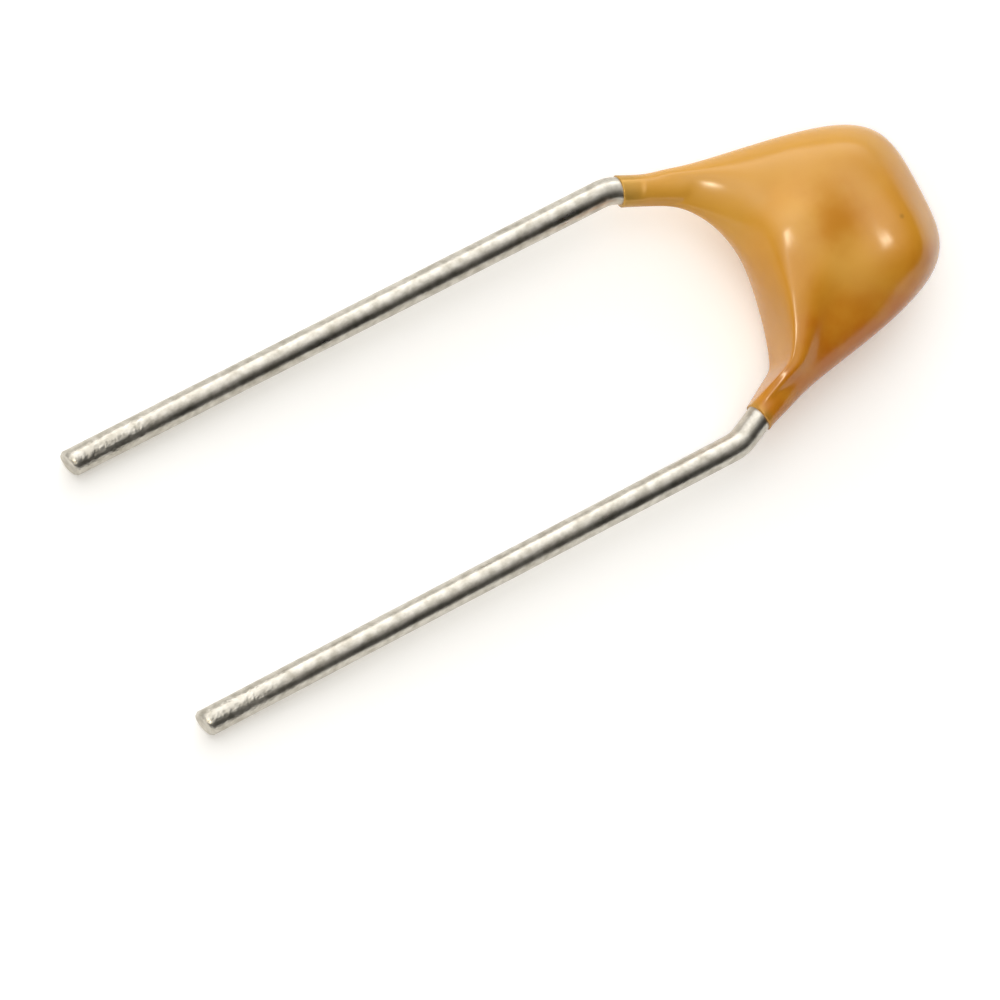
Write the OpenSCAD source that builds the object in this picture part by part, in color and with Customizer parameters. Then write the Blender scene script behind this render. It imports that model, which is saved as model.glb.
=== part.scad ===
// Multilayer ceramic capacitor with two radial leads and a dipped epoxy coating.
// Millimetres. It lies as it comes to rest: on its two lead tips and the back of its coating.
// Every piece is drawn along its own leads (X from the tips to the body, Y across, Z through
// the thickness) and then laid down by lie_at_rest().

/* [Leads] */
// Distance between the two leads, centre to centre
lead_pitch = 5.08; // [4.6:0.02:5.6]
// Diameter of the round wire
wire_d = 0.5; // [0.45:0.01:0.56]
// Straight length of a lead, from its tip to the corner of its first bend
lead_length = 11.3; // [6:0.1:25]
// Angle by which a lead turns in towards the chip
splay = 24; // [20:0.5:28]
// Radius of both bends, on the centre line of the wire
bend_r = 0.8; // [0.6:0.05:1.2]
// How much the wire is stretched thinner in its bends, on the radius
bend_neck = 0.002; // [0.001:0.001:0.005]
// Slant of the sheared tip, away from a square cut
tip_slant = 9; // [0:0.5:15]

/* [Ceramic chip] */
// Length of the chip, across the part, over its end terminations
chip_l = 2; // [1.8:0.01:2.2]
// Height of the chip, along the leads
chip_h = 1.25; // [1.1:0.01:1.4]
// Thickness of the chip
chip_t = 1.25; // [1.0:0.01:1.4]
// Radius of the chip's long edges
chip_edge_r = 0.1; // [0.05:0.01:0.2]
// Wall of an end termination
term_wall = 0.04; // [0.03:0.005:0.06]
// Length of a termination's band along the chip
term_band = 0.45; // [0.3:0.01:0.6]
// Distance from the second bend of the leads up to the chip
chip_gap = 0.25; // [0.15:0.05:0.4]

/* [Electrodes] */
// Number of electrodes that start at each end of the chip
electrodes_per_side = 7; // [2:1:8]
// Thickness drawn for one electrode
electrode_t = 0.02; // [0.01:0.002:0.03]
// Bare ceramic left along the sides of an electrode
side_margin = 0.15; // [0.1:0.01:0.25]
// Bare ceramic left between an electrode and the far termination
end_margin = 0.25; // [0.15:0.01:0.35]
// Ceramic cover above the first and below the last electrode
cover_layer = 0.13; // [0.08:0.01:0.2]

/* [Solder] */
// Solder between a lead and its termination
solder_gap = 0.02; // [0.01:0.005:0.04]
// How far the solder swells over the wire at the middle of the chip
solder_swell = 0.12; // [0.06:0.01:0.16]
// Length of lead end left above the solder
lead_end = 0.05; // [0.02:0.01:0.15]

/* [Coating outline] */
// Distance from the corner of the first bend to the end of the coating, along the part
coat_start = 0.35; // [0.25:0.05:0.6]
// How much nearer to the body the coating ends on the right leg, along its wire
right_end_shift = 0.25; // [0:0.01:0.35]
// Slant of both ends of the coating, drawn back on the side of the arch
end_slant = 10; // [0:1:15]
// Coating over the wire of each leg
leg_cover = 0.025; // [0.02:0.005:0.06]
// Rise of the hollow arch between the legs, above the ends of the coating
arch_rise = 1.4; // [1.1:0.01:1.5]
// Distance from the left wire in to the side of the arch, at the height of the fan centre
left_arch_inset = 0.27; // [0.25:0.01:0.4]
// The same on the right, where the arch would pass outside the wire and meets its cover instead
right_arch_inset = -0.29; // [-0.35:0.01:0.4]
// Width over which the arch and the cover of the wire blend
arch_blend = 0.1; // [0.03:0.01:0.15]
// Squareness of the arch: 2 is an ellipse
arch_power = 2.22; // [2:0.05:3]
// Coating outside the leads, at the middle of the chip
side_cover = 0.407; // [0.2:0.001:0.5]
// Further coating on the left flank, and as much less on the right one
lopside = 0.043; // [0:0.001:0.1]
// Coating above the chip
top_cover = 0.825; // [0.5:0.005:1]
// Draft of the body's two flanks
flank_draft = 7.4; // [5:0.1:14]
// Width over which a flank and the leg below it blend
flank_blend = 0.19; // [0.03:0.01:0.25]
// Squareness of the left shoulder
left_shoulder = 6.8; // [5:0.1:16]
// Squareness of the right shoulder
right_shoulder = 5.7; // [5:0.1:16]

/* [Coating body] */
// Coating over each broad face of the chip, before it swells
face_cover = 0.16; // [0.12:0.01:0.4]
// Further coating at the middle of the swelling
swell = 0.48; // [0.3:0.01:0.6]
// Distance of the swelling above the middle of the chip
swell_up = 0.49; // [0.2:0.01:0.6]
// Distance of the swelling to the right
swell_right = 0.74; // [0:0.01:1]
// Reach of the swelling along the part
swell_long = 0.655; // [0.5:0.005:1]
// Reach of the swelling across the part
swell_wide = 1.84; // [1:0.01:2]
// Fullness of the body across the part: 2 is an ellipse
side_power = 3; // [2:0.05:4]
// Length of the rounding at the top of the body
crown_length = 1.75; // [1.2:0.05:2]
// Fullness of that rounding: 2 is an ellipse
crown_power = 3.08; // [2:0.01:4]
// Steepness of the rim: 0.5 is round
rim_power = 0.55; // [0.5:0.01:0.6]

/* [Coating web] */
// Length of the web that climbs from the middle of the arch to the body
web_length = 0.735; // [0.6:0.005:1]
// How much longer the web is, per degree towards the left leg
web_drift = 0.057; // [0.04:0.001:0.07]
// Height to which the web climbs
web_height = 1.305; // [1:0.005:1.5]
// Fullness of the web: 2 is an ellipse
web_power = 1.12; // [1:0.01:2]
// Sharpness of the fold where the web meets the body
ridge_power = 11.4; // [6:0.1:14]
// Swelling of the ridge above the web, as a share of its height
crest = 0.166; // [0:0.001:0.2]
// Distance of that ridge from the middle of the arch
crest_at = 1.22; // [1:0.01:1.4]
// How much nearer it is, as a share, per degree towards the left leg
crest_drift = 0.018; // [0.01:0.001:0.02]
// Reach of that ridge to either side
crest_wide = 0.6; // [0.4:0.01:0.7]
// Swelling of the lip along the arch, as a share of its height
lip = 0.163; // [0:0.001:0.2]
// Distance of the lip from the middle of the arch
lip_at = 0.896; // [0.7:0.002:1]
// How much further off it is, per degree towards the left leg
lip_drift = 0.036; // [0.02:0.001:0.04]
// Reach of the lip to either side, at the middle of the arch
lip_wide = 0.806; // [0.6:0.002:1]
// How fast that reach follows the distance
lip_spread = 1.2; // [1:0.05:1.5]

/* [Hidden] */
$fn = 96;
tiny = 0.001;

wire_r = wire_d / 2;
tip_y = lead_pitch / 2;
tangent = bend_r * tan(splay / 2);
bend_seat = 0.02;
inner_y = chip_l / 2 + solder_gap + wire_r;
second_bend = lead_length + (tip_y - inner_y) / tan(splay);
first_run = lead_length - tangent;
splayed_run = (tip_y - inner_y) / sin(splay) - 2 * tangent;
chip_start = second_bend + tangent + chip_gap;
chip_mid = chip_start + chip_h / 2;
chip_end = chip_start + chip_h;
solder_end = chip_end - lead_end;

// The coating is a fan of cross sections. Their planes meet in a line below the arch, and the
// first and last of them stand square to the two legs.
coat_end = lead_length + coat_start;
wire_reach = (tip_y - coat_start * tan(splay)) / cos(splay);
fan_x = coat_end - wire_reach * sin(splay);
leg_r = wire_r + leg_cover;
arch_top = coat_end + arch_rise;
body_top = chip_end + top_cover;
half_t = chip_t / 2 + face_cover;
half_w = inner_y + wire_r + side_cover;
swell_x = chip_mid + swell_up;
crease = 0.03;
fan_margin = 4;
sections = 68;
section_points = 40;

// Where features grow in and fade out, in degrees of the fan from the left leg's side.
right_from = 70;
right_to = 110;
blend_from = splay;
blend_to = splay + 16;
tube_from = splay;
tube_to = splay + 6;
tube_fade_from = splay + 36;
tube_fade_to = splay + 48;
body_from = splay + 2;
left_body_to = splay + 24.6;
right_body_to = splay + 28.3;
lip_from = splay + 17;
lip_to = splay + 44.4;
crest_from = splay + 44;
crest_to = splay + 58;
crest_fade_from = 98;
crest_fade_to = 114;
leg_power = 8;

function ease(x) = let (c = min(max(x, 0), 1)) c * c * (3 - 2 * c);
function grown(turn, from, to) = ease((turn - from) / (to - from));
function soft_max(a, b, blend) = (a + b + sqrt((a - b) * (a - b) + blend * blend)) / 2;
function soft_min(a, b, blend) = (a + b - sqrt((a - b) * (a - b) + blend * blend)) / 2;
function rounded_min(a, b, power) = pow(pow(a, -power) + pow(b, -power), -1 / power);
function rounded_max(a, b, power) = pow(pow(a, power) + pow(b, power), 1 / power);
function hill(x, y) = exp(-x * x - y * y);
function folded(turn) = turn > 90 ? 180 - turn : turn;
function right_part(turn) = grown(turn, right_from, right_to);

// Distance from the fan centre to the wire, to the arch and to the outside of the coating.
function wire_at(turn) = wire_reach / cos(folded(turn) - splay);
function arch_side(turn) = wire_reach
    - right_arch_inset * right_part(turn) - left_arch_inset * (1 - right_part(turn));
function arch_at(turn) =
    let (across = abs(cos(turn)) / arch_side(turn), along = sin(turn) / (arch_top - fan_x))
    pow(pow(across, arch_power) + pow(along, arch_power), -1 / arch_power);
function inside_at(turn) = soft_min(arch_at(turn), wire_at(turn) - leg_r, arch_blend);
function flank_reach(turn) =
    (half_w + lopside * (1 - 2 * right_part(turn))) * cos(flank_draft)
        + (chip_mid - fan_x) * sin(flank_draft);
function flank_at(turn) = flank_reach(turn) / cos(folded(turn) - flank_draft);
function shoulder_at(turn) =
    right_shoulder * right_part(turn) + left_shoulder * (1 - right_part(turn));
function side_at(turn) =
    soft_max(wire_at(turn) + leg_r, flank_at(turn),
             crease + flank_blend * grown(folded(turn), blend_from, blend_to));
function outside_at(turn) =
    rounded_min(side_at(turn), (body_top - fan_x) / sin(turn), shoulder_at(turn));

// 0 on the middle line of the body, and about 1 at its outline.
function gauge(reach, turn) =
    let (x = fan_x + reach * sin(turn), y = abs(reach * cos(turn)),
         wide = (flank_reach(turn) - (x - fan_x) * sin(flank_draft)) / cos(flank_draft),
         tall = max(x - body_top + crown_length, 0) / crown_length)
    pow(y / wide, side_power) + pow(tall, crown_power);

// Half the thickness of the body and of the web, and the ridge and the lip that swell on them.
function body_half(reach, outside, turn) =
    let (inside = max(1 - gauge(reach, turn) / gauge(outside, turn), 0),
         swelling = hill((fan_x + reach * sin(turn) - swell_x) / swell_long,
                         (reach * cos(turn) + swell_right) / swell_wide))
    (half_t + swell * swelling) * pow(inside, rim_power);
function web_half(x, turn) =
    let (rest = max(1 - x / (web_length * exp(-web_drift * (turn - 90))), 0))
    web_height * sqrt(1 - pow(rest, web_power));
function crest_on(x, turn) =
    let (at = crest_at * (1 - crest_drift * (90 - turn)))
    1 + crest * hill((x - at) / crest_wide, 0) * grown(turn, crest_from, crest_to)
        * (1 - grown(turn, crest_fade_from, crest_fade_to));
function lip_on(x, turn) =
    let (further = exp(-lip_drift * (turn - 90)))
    1 + lip * hill((x - lip_at * further) / (lip_wide * pow(further, lip_spread)), 0)
        * grown(turn, lip_from, lip_to);
function tube_half(reach, turn) =
    let (off_wire = (reach - wire_at(turn)) * cos(folded(turn) - splay))
    grown(folded(turn), tube_from, tube_to) * (1 - grown(folded(turn), tube_fade_from, tube_fade_to))
        * sqrt(max(leg_r * leg_r - off_wire * off_wire, 0));

// One point of the coating: turn picks the section, roll goes once around it.
function coat_point(turn, roll) =
    let (near = inside_at(turn),
         far = outside_at(turn),
         x = (far - near) * (1 - cos(roll)) / 2,
         reach = near + x,
         web = web_half(x, turn),
         body = body_half(reach, far, turn),
         joined = min(web, body) < tiny ? 0 : rounded_min(web, body, ridge_power),
         full = joined * crest_on(x, turn) * lip_on(x, turn),
         share = grown(folded(turn), body_from, turn < 90 ? left_body_to : right_body_to),
         plain = leg_r * abs(sin(roll)) * (1 - share) + full * share,
         half = rounded_max(plain, tube_half(reach, turn), leg_power))
    [fan_x + reach * sin(turn), reach * cos(turn), roll < 180 ? half : -half];

coat_points = [
    for (i = [0:sections]) for (j = [0:section_points - 1])
        coat_point(splay - fan_margin + (180 - 2 * splay + 2 * fan_margin) * i / sections,
                   360 * j / section_points)
];

// The part rests on the undersides of its tips and on the lowest point of its coating.
tip_x = wire_r * tan(tip_slant);
rest_tilt = max([for (p = coat_points) atan2(-p.z - wire_r, p.x - tip_x)]);
rest_height = wire_r * cos(rest_tilt) - tip_x * sin(rest_tilt);
rest_front = -wire_r * sin(rest_tilt);
rest_back = max([for (p = coat_points) p.x * cos(rest_tilt) - p.z * sin(rest_tilt)]);

layer_count = 2 * electrodes_per_side;
layer_step = (chip_t - 2 * term_wall - 2 * cover_layer - electrode_t) / (layer_count - 1);
ceramic_l = chip_l - 2 * term_wall;
ceramic_h = chip_h - 2 * term_wall;
ceramic_t = chip_t - 2 * term_wall;

module lie_at_rest() {
    translate([-(rest_front + rest_back) / 2, 0, rest_height])
        rotate([0, -rest_tilt, 0])
            children();
}

// A bar along Y with rounded long edges.
module rounded_bar(length, height, thickness, edge_r) {
    rotate([90, 0, 0])
        linear_extrude(height = length, center = true) {
            square([height - 2 * edge_r, thickness], center = true);
            square([height, thickness - 2 * edge_r], center = true);
            for (x = [-1, 1], z = [-1, 1])
                translate([x * (height / 2 - edge_r), z * (thickness / 2 - edge_r)])
                    circle(r = edge_r);
        }
}

// A straight stretch of wire along X, which reaches a little into the bends next to it.
module wire_run(from, to) {
    translate([from, 0, 0])
        rotate([0, 90, 0])
            cylinder(h = to - from, r = wire_r);
}

// A bend of the wire that starts along X and turns towards -Y, and the frame at its far end.
module wire_bend() {
    translate([0, -bend_r, 0])
        rotate([0, 0, 90 - splay])
            rotate_extrude(angle = splay)
                translate([bend_r, 0])
                    circle(r = wire_r - bend_neck);
}
module after_bend() {
    translate([0, -bend_r, 0])
        rotate([0, 0, -splay])
            translate([0, bend_r, 0])
                children();
}

// side is 1 for the left lead (+Y) and -1 for the right one.
module lead_shape(side) {
    mirror([0, side < 0 ? 1 : 0, 0])
        translate([0, tip_y, 0]) {
            difference() {
                wire_run(0, first_run + bend_seat);
                translate([tip_x, 0, 0])
                    rotate([0, 0, tip_slant])
                        translate([-2 * wire_d, 0, 0])
                            cube(4 * wire_d, center = true);
            }
            translate([first_run, 0, 0]) {
                wire_bend();
                after_bend() {
                    wire_run(-bend_seat, splayed_run + bend_seat);
                    translate([splayed_run, 0, 0])
                        mirror([0, 1, 0]) {
                            wire_bend();
                            after_bend()
                                wire_run(-bend_seat, chip_end - second_bend - tangent);
                        }
                }
            }
        }
}

module chip_block() {
    translate([chip_mid, 0, 0])
        rounded_bar(chip_l, chip_h, chip_t, chip_edge_r);
}

module ceramic_shape() {
    translate([chip_mid, 0, 0])
        rounded_bar(ceramic_l, ceramic_h, ceramic_t, chip_edge_r - term_wall / 2);
}

module electrode_shape(side, number) {
    layer = 2 * (number - 1) + (side < 0 ? 1 : 0);
    length = ceramic_l - end_margin;
    translate([chip_mid, side * end_margin / 2, (layer - (layer_count - 1) / 2) * layer_step])
        cube([ceramic_h - 2 * side_margin, length, electrode_t], center = true);
}

module solder_spindle(side) {
    length = solder_end - chip_start;
    swell_r = (length * length / 4 + solder_swell * solder_swell) / (2 * solder_swell);
    translate([chip_start, side * inner_y, 0])
        rotate([0, 90, 0])
            rotate_extrude()
                intersection() {
                    square([wire_r + solder_swell, length]);
                    translate([wire_r + solder_swell - swell_r, length / 2])
                        circle(r = swell_r);
                }
}

// What is cut off the fan beyond the slanted end of the coating on one leg.
module beyond_end(side) {
    shift = side < 0 ? right_end_shift : 0;
    translate([coat_end + shift * cos(splay),
               side * (tip_y - coat_start * tan(splay) - shift * sin(splay)), 0])
        rotate([0, 0, side * (end_slant - splay)])
            translate([-2 * wire_d, -wire_d, -wire_d])
                cube(2 * wire_d);
}

module epoxy_coating() {
    last = sections * section_points;
    color("#d0923f")
        difference() {
            polyhedron(
                points = coat_points,
                faces = concat(
                    [[for (j = [section_points - 1:-1:0]) j]],
                    [[for (j = [0:section_points - 1]) last + j]],
                    [for (i = [0:sections - 1]) for (j = [0:section_points - 1])
                        let (k = (j + 1) % section_points, low = i * section_points)
                        [low + j, low + k, low + section_points + k, low + section_points + j]]
                ));
            chip_block();
            for (side = [-1, 1]) {
                beyond_end(side);
                lead_shape(side);
                solder_spindle(side);
            }
        }
}

module ceramic_body() {
    color("#8a6f55")
        difference() {
            ceramic_shape();
            for (side = [-1, 1], number = [1:electrodes_per_side])
                electrode_shape(side, number);
        }
}

module termination(side) {
    color("#c9c9c4")
        difference() {
            intersection() {
                chip_block();
                translate([chip_mid, side * (chip_l - term_band) / 2, 0])
                    cube([2 * chip_h, term_band, 2 * chip_t], center = true);
            }
            ceramic_shape();
        }
}

module solder(side) {
    color("#b9bab8")
        difference() {
            solder_spindle(side);
            lead_shape(side);
            chip_block();
        }
}

module lead(side) {
    color("#b4b2aa")
        lead_shape(side);
}

module electrode(side, number) {
    color("#8e8c86")
        electrode_shape(side, number);
}

lie_at_rest() epoxy_coating();
lie_at_rest() ceramic_body();
lie_at_rest() termination(1);  // left_termination
lie_at_rest() termination(-1);  // right_termination
lie_at_rest() solder(1);  // left_solder
lie_at_rest() solder(-1);  // right_solder
lie_at_rest() lead(1);  // left_lead
lie_at_rest() lead(-1);  // right_lead
for (i = [1:electrodes_per_side]) {
    lie_at_rest() electrode(1, i);
    lie_at_rest() electrode(-1, i);
}
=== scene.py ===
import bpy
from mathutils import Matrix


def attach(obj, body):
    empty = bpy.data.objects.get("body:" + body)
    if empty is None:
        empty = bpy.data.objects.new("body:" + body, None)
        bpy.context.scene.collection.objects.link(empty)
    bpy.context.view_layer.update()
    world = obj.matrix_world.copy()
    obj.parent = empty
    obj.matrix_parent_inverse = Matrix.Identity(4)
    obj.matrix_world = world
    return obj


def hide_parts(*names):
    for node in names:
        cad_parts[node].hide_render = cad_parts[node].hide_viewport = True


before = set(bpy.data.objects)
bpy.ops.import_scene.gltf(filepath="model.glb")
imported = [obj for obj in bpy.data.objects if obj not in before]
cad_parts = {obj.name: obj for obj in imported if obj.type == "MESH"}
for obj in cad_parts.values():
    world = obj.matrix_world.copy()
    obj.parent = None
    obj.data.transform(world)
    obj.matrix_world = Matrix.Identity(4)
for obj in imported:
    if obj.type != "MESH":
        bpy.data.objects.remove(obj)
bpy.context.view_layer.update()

import math

import bpy
from mathutils import Matrix, Vector

# A radial multilayer ceramic capacitor: a ceramic chip with two tinned leads in a dipped epoxy coat.

# ---------------------------------------------------------------------------
# Camera. A long lens looks steeply down on the part from the side of its lead
# tips, turned so that the leads run up to the right.
# ---------------------------------------------------------------------------
MM = 0.001
LENS = 311.47
SENSOR_WIDTH = 36.0
VIEW_HEIGHT = math.radians(66.6597)
VIEW_TURN = math.radians(62.5326)
VIEW_DISTANCE = 151.939 * MM
VIEW_TARGET = Vector((-1.6636, -1.4576, 1.0)) * MM

camera = bpy.data.objects.new("camera", bpy.data.cameras.new("camera"))
bpy.context.scene.collection.objects.link(camera)
bpy.context.scene.camera = camera
camera.data.lens = LENS
camera.data.sensor_width = SENSOR_WIDTH
camera.data.clip_start = 0.01
camera.data.clip_end = 5.0
ahead = Vector((math.cos(VIEW_HEIGHT), 0, -math.sin(VIEW_HEIGHT)))
level = Vector((0, -1, 0))
upright = level.cross(ahead)
right = level * math.cos(VIEW_TURN) + upright * math.sin(VIEW_TURN)
up = upright * math.cos(VIEW_TURN) - level * math.sin(VIEW_TURN)
camera.matrix_world = Matrix.Translation(VIEW_TARGET - ahead * VIEW_DISTANCE) @ Matrix(
    (right, up, -ahead)
).transposed().to_4x4()


# ---------------------------------------------------------------------------
# Ceramic body. A co-fired block of barium titanate, sintered from cast tape:
# matt and warm grey-brown. Its grain is drawn far coarser than it is, to show.
# ---------------------------------------------------------------------------
def linear(hex_colour):
    """An sRGB hex colour as linear red, green, blue and alpha."""
    parts = [int(hex_colour[i : i + 2], 16) / 255 for i in (1, 3, 5)]
    return [p / 12.92 if p <= 0.04045 else ((p + 0.055) / 1.055) ** 2.4 for p in parts] + [1.0]


def add(tree, kind, inputs=None, **settings):
    """Adds a node with its settings, and sets or links its inputs."""
    node = tree.nodes.new(kind)
    for name, value in settings.items():
        setattr(node, name, value)
    for key, value in (inputs or {}).items():
        if isinstance(value, bpy.types.NodeSocket):
            tree.links.new(value, node.inputs[key])
        else:
            node.inputs[key].default_value = value
    return node


def new_material(name):
    """An empty node material and its tree."""
    material = bpy.data.materials.new(name)
    material.use_nodes = True
    material.node_tree.nodes.clear()
    return material, material.node_tree


def blotched(tree, coords, size, low, high, dark, light):
    """Two colours that mix in cloudy blotches of about a size."""
    clouds = add(tree, "ShaderNodeTexNoise", {"Vector": coords, "Scale": 1 / size, "Detail": 4.0})
    shade = add(tree, "ShaderNodeValToRGB", {"Fac": clouds.outputs[0]})
    shade.color_ramp.elements[0].position = low
    shade.color_ramp.elements[0].color = linear(dark)
    shade.color_ramp.elements[1].position = high
    shade.color_ramp.elements[1].color = linear(light)
    return shade.outputs[0]


def dress(node, material):
    """Puts a material on a solid that keeps its own shape."""
    for slot in bpy.data.objects[node].material_slots:
        slot.material = material


GRAIN = 0.03 * MM

titanate, tree = new_material("sintered_barium_titanate")
coords = add(tree, "ShaderNodeTexCoord").outputs["Object"]
grain = add(tree, "ShaderNodeTexNoise", {"Vector": coords, "Scale": 1 / GRAIN, "Detail": 3.0}).outputs[0]
pores = add(tree, "ShaderNodeBump", {"Height": grain, "Strength": 0.4, "Distance": 0.004 * MM}).outputs[0]
body_colour = blotched(tree, coords, 0.2 * MM, 0.35, 0.65, "#8A7258", "#9C8468")
surface = add(
    tree,
    "ShaderNodeBsdfPrincipled",
    {"Base Color": body_colour, "Roughness": 0.62, "IOR": 2.0, "Normal": pores},
)
add(tree, "ShaderNodeOutputMaterial", {"Surface": surface.outputs[0]})
dress("ceramic_body", titanate)

# ---------------------------------------------------------------------------
# Electrodes. Printed nickel paste, fired between the layers of the ceramic
# into thin grey sheets that reach the left and the right end in turn.
# ---------------------------------------------------------------------------
nickel, tree = new_material("fired_nickel_print")
coords = add(tree, "ShaderNodeTexCoord").outputs["Object"]
mesh_marks = add(tree, "ShaderNodeTexNoise", {"Vector": coords, "Scale": 1 / (0.05 * MM)}).outputs[0]
print_colour = blotched(tree, coords, 0.1 * MM, 0.3, 0.7, "#807D76", "#9A9790")
rough = add(tree, "ShaderNodeMapRange", {"Value": mesh_marks, "To Min": 0.45, "To Max": 0.65}).outputs[0]
surface = add(
    tree, "ShaderNodeBsdfPrincipled", {"Base Color": print_colour, "Metallic": 1.0, "Roughness": rough}
)
add(tree, "ShaderNodeOutputMaterial", {"Surface": surface.outputs[0]})
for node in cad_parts:
    if "_electrode_" in node:
        dress(node, nickel)

# ---------------------------------------------------------------------------
# End terminations. Copper caps fired onto both ends of the block and barrel
# plated with nickel and tin: a matt silver with fine dimples.
# ---------------------------------------------------------------------------
plating, tree = new_material("barrel_plated_tin")
coords = add(tree, "ShaderNodeTexCoord").outputs["Object"]
dimples = add(tree, "ShaderNodeTexNoise", {"Vector": coords, "Scale": 1 / (0.06 * MM)}).outputs[0]
peened = add(tree, "ShaderNodeBump", {"Height": dimples, "Strength": 0.5, "Distance": 0.006 * MM}).outputs[0]
cap_colour = blotched(tree, coords, 0.15 * MM, 0.3, 0.7, "#C2C2BC", "#D8D8D2")
surface = add(
    tree,
    "ShaderNodeBsdfPrincipled",
    {"Base Color": cap_colour, "Metallic": 1.0, "Roughness": 0.4, "Normal": peened},
)
add(tree, "ShaderNodeOutputMaterial", {"Surface": surface.outputs[0]})
for node in ("left_termination", "right_termination"):
    dress(node, plating)

# ---------------------------------------------------------------------------
# Leads. Copper-clad steel wire, tinned in a bath, cropped from a reel, splayed
# in towards the chip by two bends and soldered to its ends.
# ---------------------------------------------------------------------------
# sizes in millimetres, angles in degrees
WIRE_RADIUS = 0.25
LEAD_PITCH = 5.08
FIRST_BEND = 11.3
SPLAY = 24.0
BEND_RADIUS = 0.8
TIP_SLANT = 9.0
TIP_CHAMFER = 0.05
TIP_PRESS = 0.14  # share of the radius that the rim of a tip is pressed in
SLANT_FADE = 0.6
DENT_DEPTH = 0.006
DENT_SPACING = 2 / 3
CHIP_LENGTH = 2.0
CHIP_HEIGHT = 1.25
CHIP_GAP = 0.25
SOLDER_GAP = 0.02
REST_TILT = 3.34032
TIPS_AT = -8.30202

inner_y = CHIP_LENGTH / 2 + SOLDER_GAP + WIRE_RADIUS
second_bend = FIRST_BEND + (LEAD_PITCH / 2 - inner_y) / math.tan(math.radians(SPLAY))
chip_start = second_bend + BEND_RADIUS * math.tan(math.radians(SPLAY / 2)) + CHIP_GAP
lead_end = chip_start + CHIP_HEIGHT

# the part lies on the undersides of its two slanted tips and on the back of its coat
tilt = math.radians(REST_TILT)
slant = math.tan(math.radians(TIP_SLANT))
tip_height = WIRE_RADIUS * math.cos(tilt) - WIRE_RADIUS * slant * math.sin(tilt)
lying = Matrix.Translation(Vector((TIPS_AT, 0, tip_height)) * MM) @ Matrix.Rotation(-tilt, 4, "Y")

tree = bpy.data.node_groups.new("bent_wire", "GeometryNodeTree")
tree.interface.new_socket("Path", in_out="INPUT", socket_type="NodeSocketGeometry")
sizes = {}
for label in (
    "Wire Radius",
    "Bend Radius",
    "Point Spacing",
    "Slant",
    "Slant Fade",
    "Axis Y",
    "Tip Chamfer",
    "Tip Press",
    "Dent Depth",
    "Dent Scale",
):
    sizes[label] = tree.interface.new_socket(label, in_out="INPUT", socket_type="NodeSocketFloat")
sizes["Finish"] = tree.interface.new_socket("Finish", in_out="INPUT", socket_type="NodeSocketMaterial")
tree.interface.new_socket("Wire", in_out="OUTPUT", socket_type="NodeSocketGeometry")
given = add(tree, "NodeGroupInput").outputs
path = add(tree, "GeometryNodeMeshToCurve", {"Mesh": given["Path"]})
bent = add(
    tree,
    "GeometryNodeFilletCurve",
    {"Curve": path.outputs[0], "Count": 16, "Radius": given["Bend Radius"]},
    mode="POLY",
)
even = add(
    tree,
    "GeometryNodeResampleCurve",
    {"Curve": bent.outputs[0], "Length": given["Point Spacing"]},
    mode="LENGTH",
)
profile = add(tree, "GeometryNodeCurvePrimitiveCircle", {"Resolution": 48, "Radius": given["Wire Radius"]})
skin = add(
    tree,
    "GeometryNodeCurveToMesh",
    {"Curve": even.outputs[0], "Profile Curve": profile.outputs[0], "Fill Caps": True},
)
# the cropped end: its rim is pressed in a little, and its face leans with the cutter
place = add(tree, "GeometryNodeInputPosition").outputs[0]
split = add(tree, "ShaderNodeSeparateXYZ", {0: place}).outputs
at_rim = add(
    tree,
    "ShaderNodeMapRange",
    {"Value": split["X"], "From Max": given["Tip Chamfer"], "To Min": given["Tip Press"], "To Max": 0.0},
).outputs[0]
near_tip = add(
    tree,
    "ShaderNodeMapRange",
    {"Value": split["X"], "From Max": given["Slant Fade"], "To Min": 1.0, "To Max": 0.0},
).outputs[0]
off_axis = add(tree, "ShaderNodeMath", {0: given["Axis Y"], 1: split["Y"]}, operation="SUBTRACT").outputs[0]
below = add(tree, "ShaderNodeMath", {0: split["Z"], 1: -1.0}, operation="MULTIPLY").outputs[0]
inward_y = add(tree, "ShaderNodeMath", {0: off_axis, 1: at_rim}, operation="MULTIPLY").outputs[0]
inward_z = add(tree, "ShaderNodeMath", {0: below, 1: at_rim}, operation="MULTIPLY").outputs[0]
from_edge = add(tree, "ShaderNodeMath", {0: off_axis, 1: given["Wire Radius"]}, operation="ADD").outputs[0]
lean = add(tree, "ShaderNodeMath", {0: from_edge, 1: given["Slant"]}, operation="MULTIPLY").outputs[0]
shift = add(tree, "ShaderNodeMath", {0: lean, 1: near_tip}, operation="MULTIPLY").outputs[0]
pressed = add(tree, "ShaderNodeCombineXYZ", {"X": shift, "Y": inward_y, "Z": inward_z}).outputs[0]
cropped = add(tree, "GeometryNodeSetPosition", {"Geometry": skin.outputs[0], "Offset": pressed})
# shallow dents from the reel and the bending pins, never proud of the round wire
dents = add(tree, "ShaderNodeTexNoise", {"Scale": given["Dent Scale"], "Detail": 2.0}, noise_dimensions="3D")
low = add(tree, "ShaderNodeMath", {0: dents.outputs[0], 1: 0.8}, operation="SUBTRACT").outputs[0]
depth = add(tree, "ShaderNodeMath", {0: low, 1: given["Dent Depth"]}, operation="MULTIPLY").outputs[0]
facing = add(tree, "GeometryNodeInputNormal").outputs[0]
inward = add(tree, "ShaderNodeVectorMath", {0: facing, "Scale": depth}, operation="SCALE").outputs[0]
dented = add(tree, "GeometryNodeSetPosition", {"Geometry": cropped.outputs[0], "Offset": inward})
smooth = add(tree, "GeometryNodeSetShadeSmooth", {"Geometry": dented.outputs[0]})
plain = add(tree, "GeometryNodeRealizeInstances", {"Geometry": smooth.outputs[0]})
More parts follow.
